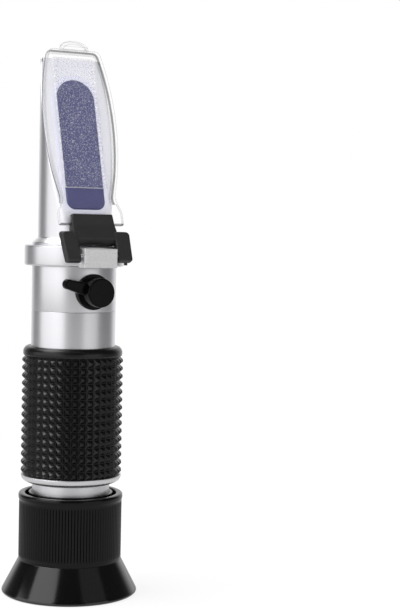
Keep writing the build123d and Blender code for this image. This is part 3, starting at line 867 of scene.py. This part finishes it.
@dataclass
class PrismHead:
    """The turned head cut by the slope, with the prism and its seal set into the cut."""

    radius: float = 10.76
    wall: float = 1.4
    top: float = 157.4
    face_out: float = -2.8
    prism_out: float = -2.4
    prism_half: float = 6.15
    prism_low: float = on_slope(114.1)
    prism_high: float = on_slope(152.0)
    corner: float = 2.6
    rim: float = 1.5
    edge: float = 0.6
    bevel: float = 0.3

    def stadium(self, inset: float, points: int = 40) -> np.ndarray:
        """Right half of the prism's outline, from its foot to its crown.

        Args:
            inset: how far inside the prism's own outline it runs, negative outside.
            points: how many points each curved part has.

        Returns:
            (across, up) points with equal numbers for every inset.
        """
        half = self.prism_half - inset
        corner = max(self.corner - inset, 0.05)
        low = self.prism_low + inset
        crown = self.prism_high - self.prism_half
        foot_turn = np.linspace(-np.pi / 2, 0, points // 2)
        foot = np.stack(
            [half - corner + corner * np.cos(foot_turn), low + corner + corner * np.sin(foot_turn)], axis=1
        )
        side_up = np.linspace(low + corner, crown, points)[1:-1]
        side = np.stack([np.full(len(side_up), half), side_up], axis=1)
        crown_turn = np.linspace(0, np.pi / 2, points)
        top = np.stack([half * np.cos(crown_turn), crown + half * np.sin(crown_turn)], axis=1)
        return np.concatenate([np.array([[0.0, low]]), foot, side, top])

    def loop(self, inset: float) -> np.ndarray:
        """The whole outline: the right half up and its mirror image down."""
        return whole(self.stadium(inset))

    def sweep(self, stations: Corners) -> np.ndarray:
        """The outline carried through stations of (inset, out), one row for each."""
        return np.stack([to_slope(*self.loop(inset).T, out) for inset, out in stations])

    def fill(self, inset: float, out: float | None = None) -> np.ndarray:
        """What closes an outline, in rows straight across.

        Args:
            inset: how far inside the prism's own outline it ends.
            out: how far out it lies, or None for the back of the pocket.

        Returns:
            The grid.
        """
        half = self.stadium(inset)
        share = np.linspace(-1, 1, 13)
        across, up = half[:, :1] * share, half[:, 1:] + 0 * share
        return to_slope(across, up, self.depth(across, up) if out is None else out)

    def depth(self, across: np.ndarray, up: np.ndarray) -> np.ndarray:
        """Slope coordinate out, at the back of the pocket, on a cylinder inside the head's back wall."""
        back = np.sqrt(np.maximum((self.radius - self.wall) ** 2 - across**2, 0))
        return (FACE_Y + SINE * up - back) / COSINE

    def prism(self) -> None:
        """The prism: its outline swept back to the inner cylinder, under a polished face with a fine edge."""
        outline = self.loop(0)
        back = to_slope(*outline.T, self.depth(*outline.T))
        front = self.sweep([(0, self.prism_out - self.bevel), (self.bevel, self.prism_out)])
        skin = Skin().grid(np.concatenate([back[None], front]), wrap=True)
        skin.grid(self.fill(self.bevel, self.prism_out)).grid(self.fill(0))
        skin.piece("prism_block", "prism", Body.ROOT, Slot.PRISM, PRISM_GLASS)

    def seal(self) -> None:
        """The seal: a band round the prism, with a rounded outer and inner edge."""
        high, low = self.face_out + 0.2, self.face_out - 0.8
        rim = self.rim
        stations = [(-rim, low), (-rim, high - 0.12), (-rim + 0.04, high - 0.04), (-rim + 0.14, high)]
        stations += [(-0.14, high), (-0.03, high - 0.03), (0.0, high - 0.12), (0.0, low), (-rim, low)]
        skin = Skin().grid(self.sweep(stations), wrap=True)
        skin.piece("prism_seal_rim", "prism_seal", Body.ROOT, Slot.CEMENT, CEMENT)

    def cut(self, y: np.ndarray, sunk: float = 0.0) -> np.ndarray:
        """Height of the head's cut end at a depth: the slope's plane, or the flat top where that is lower.

        Args:
            y: the depth.
            sunk: how far under those two faces, square to each.

        Returns:
            The height.
        """
        plane = FACE_Z + self.face_out * SINE + (y - FACE_Y + self.face_out * COSINE) * COSINE / SINE
        return np.minimum(plane - sunk / SINE, self.top - sunk)

    def head(self) -> None:
        """The head.

        Its foot is turned. Above it each column of the wall runs up to just under the cut, where it turns
        over the edge along the parabola (1-t)^2 A + 2t(1-t) P + t^2 B, with A on the wall, P at the sharp
        corner and B on the cut. Rows straight across close the cut.
        """
        inset = self.radius - self.edge
        crease = FACE_Y + (self.top - FACE_Z) * TANGENT - self.face_out / COSINE
        turns = [math.asin(crease / self.radius), math.asin(crease / inset)]
        turn = np.unique(np.concatenate([np.linspace(-np.pi / 2, np.pi / 2, 150), turns]))
        angle = np.concatenate([turn, np.pi - turn[-2:0:-1]])
        foot = soften(
            [(SPIGOT_RADIUS, HEAD_SEAT), (SPIGOT_RADIUS, COLLAR_TOP), (TUBE_RADIUS, COLLAR_TOP)]
            + [(TUBE_RADIUS, 103.6), (self.radius, 105.1), (self.radius, 106.0)],
            [0, 0, 0.1, 0.3, 0.25, 0],
        )
        around = np.stack([np.cos(angle), np.sin(angle)], axis=1)
        ground = foot[:, :1, None] * around
        limit = np.maximum(self.cut(ground[..., 1]), COLLAR_TOP)
        height = np.where(foot[:, 1:] > COLLAR_TOP, np.minimum(foot[:, 1:], limit), foot[:, 1:])
        foot_rows = np.concatenate([ground, height[..., None]], axis=-1)
        corner = np.stack([*(self.radius * around).T, self.cut(self.radius * around[:, 1])], axis=1)
        start = np.stack([*corner[:, :2].T, self.cut(corner[:, 1], self.edge)], axis=1)
        end = np.stack([*(inset * around).T, self.cut(inset * around[:, 1])], axis=1)
        start[:, 2] = np.maximum(start[:, 2], foot_rows[-1, :, 2])
        end[:, 2] = np.maximum(end[:, 2], COLLAR_TOP)
        corner[:, 2] = np.maximum(corner[:, 2], start[:, 2])
        rise = np.linspace(0, 1, 30)[1:-1, None, None]
        wall = foot_rows[-1] * (1 - rise) + start * rise
        t = np.linspace(0, 1, 7)[:, None, None]
        bend = (1 - t) ** 2 * start + 2 * t * (1 - t) * corner + t**2 * end
        share = np.linspace(1, 0, 24)[1:, None]
        across, depth = end[:, 0] * share, end[:, 1] + 0 * share
        close = np.stack([across, depth, np.maximum(self.cut(depth), COLLAR_TOP)], axis=-1)
        under = foot_rows[0] * (0, 1, 1)
        rows = np.concatenate([under[None], foot_rows, wall, bend])
        burnished = np.arange(len(rows) - 1) >= len(rows) - len(bend)
        level_top = self.top - 1e-6
        sloped = corner[:, 2] < level_top
        skin = Skin().grid(rows, wrap=True, slot=(burnished[:, None] & sloped).astype(int))
        flat = np.concatenate([bend[-1:], close])
        level = (flat[:-1, :, 2] + np.roll(flat[:-1, :, 2], -1, axis=1)) / 2
        skin.grid(flat, wrap=True, slot=(level < level_top).astype(int))
        skin.piece("prism_head_turned", "prism_head", Body.ROOT, Slot.METAL, SATIN_METAL, MILLED_FACE)

    def build(self) -> None:
        """Head, prism and seal."""
        self.head()
        self.prism()
        self.seal()


@dataclass
class Cover:
    """The clear cover with its frosted pad and finger tab, and the black clamp and pin that carry it."""

    wall: float = 1.2
    rise: float = 2.4
    top: float = on_slope(160.3)
    top_half: float = 8.2
    bulge_at: float = on_slope(138.5)
    bulge: float = 11.4
    neck_at: float = on_slope(116.8)
    neck: float = 8.4
    rim_low: float = on_slope(115.5)
    shoulder: float = on_slope(112.7)
    ear_low: float = on_slope(109.0)
    ear: float = 10.35
    notch_top: float = on_slope(112.0)
    notch: float = 6.35
    pad_half: float = 6.65
    pad_low: float = on_slope(120.2)
    pad_high: float = on_slope(158.1)
    tab_half: float = 4.6
    tab_top: float = on_slope(162.9)
    tongue_half: float = 7.0
    tongue_bend: float = on_slope(107.3)
    tongue_low: float = on_slope(103.5)
    tongue_front: float = 1.0
    tongue_back: float = -1.6
    tongue_slant: float = 1.2
    tongue_bulge: float = 1.1
    hinge_depth: float = 15.6
    hinge_height: float = 100.2
    arm_inner: float = 5.9
    arm_outer: float = 10.1
    arm_front: float = 1.2
    arm_back: float = 1.4
    arm_foot: float = 2.0
    arm_rise: float = 7.0
    arm_flare: float = 0.5
    arm_tilt: float = math.radians(24)

    def outline(self) -> np.ndarray:
        """The cover's outline, anticlockwise from the middle of the notch.

        The side is the arc of a circle through the neck, the bulge and the top corner, found from three
        points. Below it the ear is straight runs with rounded corners.

        Returns:
            (across, up) of a closed loop.
        """
        points = np.array([(self.neck, self.neck_at), (self.bulge, self.bulge_at), (self.top_half, self.top)])
        matrix = np.concatenate([2 * points, np.ones((3, 1))], axis=1)
        a, b, c = np.linalg.solve(matrix, (points**2).sum(axis=1))
        up = np.linspace(self.neck_at, self.top, 60)
        arc = np.stack([a + np.sqrt(c + a * a + b * b - (up - b) ** 2), up], axis=1)
        slant = (self.tongue_half - self.notch) / (self.notch_top - self.tongue_bend)
        ear_inner = self.notch + 0.02 + slant * (self.notch_top - self.ear_low)
        lower = soften(
            [(0, self.notch_top), (self.notch + 0.02, self.notch_top), (ear_inner, self.ear_low)]
            + [(self.ear, self.ear_low), (self.ear, self.shoulder), (self.neck, self.neck_at), arc[8]],
            [0, 0.3, 0.4, 0.7, 0.9, 1.3, 0],
        )
        upper = soften([arc[-8], (self.top_half, self.top), (0, self.top)], [0, 1.7, 0], 7)
        return whole(even(np.concatenate([lower[:-1], arc[9:-8], upper]), 0.3))

    def tray(self) -> None:
        """The clear tray.

        Its outline is carried through stations of (inset, out): over the front edge, down the wall, under
        the rim and up inside to the plate's underside. Below the rim's end the wall is only as deep as the
        plate is thick.
        """
        loop = self.outline()
        normal = inward(loop)
        deep = np.clip((loop[:, 1:] - self.rim_low) / 0.3, 0, 1)
        thin, full, wall = -self.wall, -self.rise, self.wall
        edge = [(0.6, 0), (0.36, 0), (0.1, -0.09), (0, -0.34)]
        body = edge + [(0, full + 0.6), (0.08, full + 0.08), (0.4, full), (wall - 0.3, full)]
        body += [(wall - 0.08, full + 0.08), (wall, full + 0.3), (wall, thin)]
        ears = edge + [(0, thin + 0.5), (0.08, thin + 0.08)] + [(0.3, thin)] * 4 + [(0.5, thin)]
        rows = []
        for (inset, out), (ear_inset, ear_out) in zip(body, ears):
            place = loop + normal * (inset * deep + ear_inset * (1 - deep))
            rows.append(to_slope(*place.T, (out * deep + ear_out * (1 - deep))[:, 0]))
        # Slots along the stations: 0 is the clear face, 1 the grey painted shade on the bevels, 2 the
        # near-black painted shade under the rim; below the rim's end slot 2 falls back to 1.
        slots = np.array([0, 1, 1, 0, 2, 2, 1, 1, 0, 0])[:, None]
        slots = np.where((slots == 2) & (loop[:, 1] < self.rim_low), 1, slots)
        # The ears' bottoms get slot 2, the near-black painted shade.
        foot = (loop[:, 1] < self.ear_low + 0.55) & (np.arange(10)[:, None] < 7)
        skin = Skin().grid(np.stack(rows), wrap=True, slot=np.where(foot, 2, slots)).lid(rows[0])
        pad = self.pad()
        # The pad's sides take slot 3, the painted highlight; its face takes the frosted finish.
        skin.grid(pad, wrap=True, slot=3).lid(pad[-1], 4)
        under, hole = closed(rows[-1]), closed(pad[0])
        half, middle = len(under) // 2, len(hole) // 2
        skin.lid(np.concatenate([under[: half + 1], hole[middle::-1]]))
        skin.lid(np.concatenate([under[half:], hole[: middle - 1 : -1]]))
        finishes = (CLEAR_FACE, CLEAR_EDGE_PAINTED_SHADE, CLEAR_RIM_PAINTED_SHADE, PAD_EDGE_PAINTED_HIGHLIGHT, FROSTED_PAD)
        skin.piece("cover_tray", "cover_plate", Body.COVER, Slot.CLEAR, *finishes)

    def pad(self) -> np.ndarray:
        """The frosted pad under the tray: a slab with rounded corners, from the plate's underside down.

        Returns:
            The grid of its sides, one row for each station.
        """
        half, low, high = self.pad_half, self.pad_low, self.pad_high
        right = soften([(0, low), (half, low), (half, high), (0, high)], [0, 0.6, 0.6, 0])
        stations = [(0.0, -self.wall), (0.0, 0.2 - self.rise), (0.16, 0.04 - self.rise)]
        return carried(whole(right), stations)

    def tab(self) -> None:
        """The finger tab: a low arch as thick as the plate, with a shallow hollow for the fingertip."""
        turn = np.linspace(0, np.pi, 41)
        base = self.top - 0.3
        rise = self.tab_top - base
        arch = np.stack([self.tab_half * np.cos(turn), base + rise * np.sin(turn) ** 0.8], axis=1)
        thin = 0.03 - self.wall
        stations = [(1.3, -0.22), (0.95, -0.03), (0.32, -0.03), (0.09, -0.12), (0, -0.34), (0, thin + 0.3)]
        stations += [(0.09, thin + 0.09), (0.32, thin)]
        rows = carried(even(arch, 0.25), stations)
        # Slot 1 is the grey painted shade on the tab's slopes and bevels; slot 0 is the clear face.
        slots = np.array([1, 0, 1, 1, 0, 1, 1])[:, None]
        skin = Skin().grid(rows, wrap=True, slot=slots).lid(rows[0]).lid(rows[-1])
        skin.piece("cover_tab", "cover_plate", Body.COVER, Slot.CLEAR, CLEAR_FACE, CLEAR_EDGE_PAINTED_SHADE)

    def relief(self, points: np.ndarray) -> np.ndarray:
        """Keeps the clamp clear of the collar and the head.

        A point under the collar's top or the head's flange that lies nearer to the axis than the clearance
        radius R goes forward to y = -sqrt(R^2 - x^2).
        """
        x, y, z = np.moveaxis(points, -1, 0)
        clearance = np.where(z < 103.15, 14.85, np.where(z < 105.5, 12.75, 0.0))
        front = -np.sqrt(np.maximum(clearance**2 - x**2, 0))
        return np.stack([x, np.where(clearance > 0, np.minimum(y, front), y), z], axis=-1)

    def tongue(self) -> np.ndarray:
        """The clamp's tongue: a rounded rectangle carried up the slope, drawn in at both of its ends."""
        length = self.notch_top - self.tongue_low
        ends = np.array([0.0, 0.04, 0.12, 0.25, 0.45])
        rows = []
        for step in np.concatenate([ends, np.linspace(0.8, length - 0.8, 24), length - ends[::-1]]):
            up = self.tongue_low + step
            taper = max(up - self.tongue_bend, 0) / (self.notch_top - self.tongue_bend)
            draw = rounding(step, 0.35) + rounding(length - step, 0.12)
            half = self.tongue_half + (self.notch - self.tongue_half) * taper - draw
            bulge = self.tongue_bulge * min(1.0, max(0.0, 1.3 - step / 4.2))
            slant = max(self.tongue_slant - step, 0)
            front = self.tongue_front + bulge - slant - rounding(length - step, 0.4)
            loop = box_loop((-half, self.tongue_back), (half, front), 0.45)
            rows.append(to_slope(loop[:, 0], up, loop[:, 1]))
        return np.stack(rows)

    def arm(self) -> np.ndarray:
        """The clamp's right arm, which leans back by its tilt.

        It is a rounded rectangle in (x, across), carried from the foot, an arc about the pin, to the level
        top, where along = (rise + across sin t) / cos t.

        Returns:
            The grid, one row for each station.
        """
        sine, cosine = math.sin(self.arm_tilt), math.cos(self.arm_tilt)
        foot = self.arm_foot
        full = self.arm_rise / cosine + foot
        arc = foot * (1 - np.cos(np.radians(np.linspace(12, 62, 8))))
        crown = full - 1.2 * (1 - np.sin(np.linspace(0, np.pi / 2, 9)))
        rows = []
        for step in np.concatenate([arc, np.linspace(1.3, full - 1.4, 20), crown]):
            reach = math.sqrt(max(foot**2 - min(step - foot, 0) ** 2, 0.0))
            draw = rounding(step, 0.4) + rounding(full - step, 0.3)
            low = (self.arm_inner + draw, draw - min(self.arm_front, reach))
            flare = self.arm_flare * step / full
            outer = self.arm_outer + 0.25 + flare - rounding(step, 0.9) - rounding(full - step, 1.2)
            high = (outer, min(self.arm_back, reach) - draw)
            loop = box_loop(low, high, 0.6)
            top = (self.arm_rise + loop[:, 1] * sine) / cosine
            along = (top + foot) * step / full - foot
            y = loop[:, 1] * cosine + along * sine - self.hinge_depth
            z = along * cosine - loop[:, 1] * sine + self.hinge_height
            rows.append(np.stack([loop[:, 0], y, z], axis=1))
        return np.stack(rows)

    def clamp(self) -> None:
        """The clamp: tongue, an arm on each side of the hinge block, and a nub under the right arm."""
        skin = Skin()
        arm = self.arm()
        for part in (self.tongue(), arm, arm * (-1, 1, 1)):
            part = self.relief(part)
            skin.grid(part, wrap=True).lid(part[0]).lid(part[-1])
        nub = lathe(soften([(0, 97.6), (0.5, 97.6), (0.5, 99.0), (0, 99.0)], [0, 0.15, 0, 0]), 24)
        skin.grid(nub + (8.8, -self.hinge_depth, 0), wrap=True)
        skin.piece("hinge_clamp_moulded", "hinge_clamp", Body.COVER, Slot.PLASTIC, CLAMP_PLASTIC)

    def pin(self) -> None:
        """The hinge pin: a rod across the arms with rounded ends."""
        profile = soften([(0, -10.25), (0.75, -10.25), (0.75, 10.25), (0, 10.25)], [0, 0.2, 0.2, 0])
        rod = lathe(profile, 32)[..., [2, 0, 1]] + (0, -self.hinge_depth, self.hinge_height)
        skin = Skin().grid(rod, wrap=True)
        skin.piece("hinge_pin_rod", "hinge_pin", Body.COVER, Slot.STEEL, TURNED_STEEL)

    def build(self) -> None:
        """All pieces of the cover."""
        self.tray()
        self.tab()
        self.clamp()
        self.pin()


@dataclass
class Fittings:
    """The hinge block on the collar, and the rubber cap over the calibration screw."""

    half: float = 5.25
    front: float = 17.4
    low: float = 96.85
    top: float = 102.35
    screw_height: float = 89.8
    cap_radius: float = 4.2
    cap_depth: float = 18.3
    cap_gap: float = 0.25
    hug_below: float = 13.0
    flange: float = 5.2
    flange_depth: float = 13.4
    pull_root: float = 2.6
    pull_neck: float = 9.4
    pull_lobe: float = 1.45
    pull_tilt: float = math.radians(14.7)
    columns: int = 96

    def block(self) -> None:
        """The block: a rounded rectangle carried forward from the collar's surface."""
        rows = []
        for inset, back in ((0, 4.0), (0, 0.3), (0.03, 0.12), (0.12, 0.03), (0.3, 0), (0.5, 0)):
            half = self.half - inset
            loop = box_loop((-half, self.low + inset), (half, self.top - inset), max(0.3 - inset, 0.06), 8)
            rows.append(np.stack([loop[:, 0], np.full(len(loop), back - self.front), loop[:, 1]], axis=1))
        rows[0][:, 1] = -np.sqrt(14.4**2 - rows[0][:, 0] ** 2)
        skin = Skin().grid(np.stack(rows), wrap=True).lid(rows[-1]).lid(rows[0])
        skin.piece("hinge_block_milled", "hinge_block", Body.ROOT, Slot.METAL, BLASTED_METAL)

    def pull_tab(self) -> np.ndarray:
        """The cap's pull tab: a rounded rectangle carried out along its own tilted line.

        Its half width narrows from the root to the neck, and from there the end is a circle of the lobe's
        radius; the thickness rounds off with it.

        Returns:
            The grid, one row for each station.
        """
        away = np.array([-math.cos(self.pull_tilt), 0.0, math.sin(self.pull_tilt)])
        side = np.array([math.sin(self.pull_tilt), 0.0, math.cos(self.pull_tilt)])
        turn = np.linspace(-0.5 * np.pi, 0.49 * np.pi, 22)
        lobe = self.pull_neck + self.pull_lobe * np.sin(turn)
        stations = np.concatenate([np.linspace(self.pull_root, lobe[0] - 0.2, 12), lobe])
        taper = np.interp(stations, [self.pull_root, self.pull_neck], [2.0, 1.4])
        bulb = np.sqrt(np.maximum(self.pull_lobe**2 - (stations - self.pull_neck) ** 2, 0))
        wide = np.where(stations < self.pull_neck, np.maximum(taper, bulb), bulb)
        thick = 1.25 * np.clip(wide / self.pull_lobe, 0.01, 1) ** 0.4
        rows = []
        for reach, half, deep in zip(stations, wide, thick):
            loop = box_loop((-half, -deep), (half, deep), 0.6, 4)
            place = away * reach + side * loop[:, :1] + np.array([0, 1.0, 0]) * loop[:, 1:]
            rows.append(place + (0, -14.65, self.screw_height))
        return np.stack(rows)

    def cap(self) -> None:
        """The cap: a turned cup, whose rows below hug_below lie a gap off the tube, and its pull tab."""
        angle = np.linspace(0, 2 * np.pi, self.columns, endpoint=False)
        profile = soften(
            [(3.45, 17.0), (3.45, 12.9), (self.flange, 12.9), (self.flange, self.flange_depth)]
            + [(self.cap_radius, self.flange_depth), (self.cap_radius, self.cap_depth), (0, self.cap_depth)],
            [0, 0, 0, 0.3, 0.2, 0.65, 0],
            6,
        )
        radius, out = profile[:, :1], profile[:, 1:]
        x, rise = radius * np.cos(angle), radius * np.sin(angle)
        hug = np.sqrt((TUBE_RADIUS + self.cap_gap) ** 2 - x**2)
        depth = np.where(out < self.hug_below, hug, out + 0 * x)
        outside = np.stack([x, -depth, rise + self.screw_height], axis=-1)
        centre = outside[:1] * (0, 1, 0) + np.array([0, 0, self.screw_height])
        skin = Skin().grid(np.concatenate([centre, outside]), wrap=True)
        tab = self.pull_tab()
        skin.grid(tab, wrap=True).lid(tab[0]).lid(tab[-1])
        skin.piece("screw_cap_rubber", "screw_cap", Body.CAP, Slot.RUBBER, CAP_RUBBER)

    def build(self) -> None:
        """Block and cap."""
        self.block()
        self.cap()


@dataclass
class InnerParts:
    """CAD nodes inside the tube, which keep their shape and get a finish each."""

    nodes: dict[str, bpy.types.Object]

    def build(self) -> None:
        """Dresses every node that is left."""
        finishes = {
            DARK_METAL: ("eyepiece_barrel", "eye_lens_retainer", "lens_spacer", "objective_cell")
            + ("objective_retainer", "light_baffle", "reticle_holder", "reticle_retainer", "strip_anchor"),
            LENS_GLASS: ("eye_lens", "field_lens", "objective_lens", "reticle"),
            TURNED_STEEL: ("guide_screw", "snap_ring", "calibration_screw"),
            SATIN_METAL: ("calibration_bush",),
            STRIP_METAL: ("bimetal_strip",),
        }
        for item, names in finishes.items():
            for name in names:
                self.nodes[name].material_slots[0].material = item.build()
                log.info("%s: %s", name, item.name)


@dataclass(frozen=True)
class Softbox:
    """A soft lamp that stands round the object, and faces it."""

    name: str
    azimuth: float
    elevation: float
    distance: float
    width: float
    height: float
    glow: float

    def build(self, target: Vector) -> None:
        """Hangs the lamp.

        Args:
            target: the point that it faces, in metres.
        """
        data = bpy.data.lights.new(self.name, "AREA")
        data.shape = "RECTANGLE"
        data.size, data.size_y = self.width, self.height
        data.energy = self.glow * math.pi * self.width * self.height
        lamp = bpy.data.objects.new(self.name, data)
        bpy.context.scene.collection.objects.link(lamp)
        turn, tilt = math.radians(self.azimuth), math.radians(self.elevation)
        away = Vector((math.sin(turn) * math.cos(tilt), -math.cos(turn) * math.cos(tilt), math.sin(tilt)))
        lamp.location = target + away * self.distance
        lamp.rotation_euler = away.to_track_quat("Z", "Y").to_euler()
        lamp.visible_camera = False


@dataclass
class Studio:
    """Camera, soft light, white floor and white surroundings.

    The camera's place and aim are in millimetres; the floor's fade and the heart, which the lamps face, in
    metres. Night, room, veil and ambient are levels of the world, and lift, sheen and paint of the floor.
    """

    place: tuple[float, float, float] = (-193.637, -397.015, 112.1)
    aim: tuple[float, float, float] = (33.626, -16.400, 85.027)
    roll: float = 1.2466
    lens: float = 87.339
    ambient: float = 0.8
    night: float = 0.05
    room: float = 0.17
    veil: float = 0.28
    lift: float = 0.8
    sheen: float = 0.55
    paint: float = 0.95
    fade_from: float = 0.09
    fade_full: float = 0.30
    heart: tuple[float, float, float] = (0.0, 0.0, 0.08)
    lamps: tuple[Softbox, ...] = (
        Softbox("key_left", -88.0, 8.0, 0.95, 1.5, 0.5, 1.1),
        Softbox("key_high", -80.0, 34.5, 0.95, 0.74, 0.42, 1.5),
        Softbox("fill_right", 23.0, 5.0, 1.0, 0.78, 0.6, 0.55),
        Softbox("front_high", 24.0, 37.0, 1.0, 0.7, 0.4, 0.15),
        Softbox("spark_high", -122.0, 61.0, 0.9, 0.65, 0.45, 4.5),
        Softbox("top_soft", -30.0, 80.0, 1.0, 0.8, 0.8, 0.3),
    )

    def camera(self) -> None:
        """Stands the camera where the photograph's was: it looks at the aim point and leans by the roll."""
        data = bpy.data.cameras.new("camera")
        data.lens = self.lens
        data.sensor_width = 36.0
        data.clip_start, data.clip_end = 0.01, 20.0
        camera = bpy.data.objects.new("camera", data)
        bpy.context.scene.collection.objects.link(camera)
        start, goal = Vector(self.place) * MM, Vector(self.aim) * MM
        look = (goal - start).to_track_quat("-Z", "Y").to_matrix()
        turn = Matrix.Rotation(math.radians(self.roll), 3, "Z")
        camera.matrix_world = Matrix.Translation(start) @ (look @ turn).to_4x4()
        bpy.context.scene.camera = camera

    def surroundings(self) -> None:
        """The world: white to the eye and, behind the object, to gloss and glass; grey walls elsewhere."""
        world = bpy.data.worlds.new("studio")
        world.use_nodes = True
        bpy.context.scene.world = world
        shader = Shader(world.node_tree)
        seen, mirrored, passed = shader.rays()
        way = Vector(self.aim) - Vector(self.place)
        way.z = 0.0
        way.normalize()
        x, y, z = shader.axes(shader.term("ShaderNodeTexCoord", output="Generated"))
        along = x * way.x + y * way.y
        white = seen.larger(mirrored.larger(passed) * along.fade(0.58, 0.9))
        low = 1.0 - z.fade(0.02, 0.32)
        gloss = self.night + low * (self.room + (0.0 - along).fade(0.35, 0.95) * self.veil)
        level = self.ambient + mirrored * (gloss - self.ambient)
        strength = level * (1.0 - white) + white
        background = shader.term("ShaderNodeBackground", inputs={"Color": grey(1.0), "Strength": strength})
        shader.node("ShaderNodeOutputWorld", inputs={"Surface": background})

    def floor(self) -> None:
        """A round white floor that fades into the white surroundings, and keeps the shadow."""
        ring = np.array([(0.0, 0.0), (60.0, 0.0), (200.0, 0.0), (450.0, 0.0)])
        floor = Skin().grid(lathe(ring, 64), wrap=True).mesh("floor")
        material = bpy.data.materials.new("white_floor")
        material.use_nodes = True
        shader = Shader(material.node_tree)
        seen, mirrored, passed = shader.rays()
        x, y, _ = shader.axes(shader.place())
        far = (x * x + y * y).fade(self.fade_from**2, self.fade_full**2)
        paint = shader.term("ShaderNodeBsdfDiffuse", inputs={"Color": grey(self.paint)})
        bright = self.sheen + seen * (1.0 - self.sheen)
        glow = shader.term("ShaderNodeEmission", inputs={"Color": grey(1.0), "Strength": bright})
        factor = (self.lift + far * (1.0 - self.lift)) * seen.larger(mirrored.larger(passed))
        surface = shader.term("ShaderNodeMixShader", inputs={0: factor, 1: paint, 2: glow})
        shader.node("ShaderNodeOutputMaterial", inputs={"Surface": surface})
        floor.data.materials.append(material)

    def build(self) -> None:
        """All of the studio."""
        self.camera()
        self.surroundings()
        self.floor()
        for lamp in self.lamps:
            lamp.build(Vector(self.heart))
        bpy.context.scene.view_settings.view_transform = "Standard"


def main() -> None:
    """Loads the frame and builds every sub-assembly in order."""
    logging.basicConfig(level=logging.INFO, format="%(name)s: %(message)s")
    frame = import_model()
    Studio().build()
    for part in (Tube(), Grip(), Eyepiece(), PrismHead(), Cover(), Fittings(), InnerParts(frame["nodes"])):
        part.build()
        log.info("%s is built", type(part).__name__)


if __name__ == "__main__":
    main()
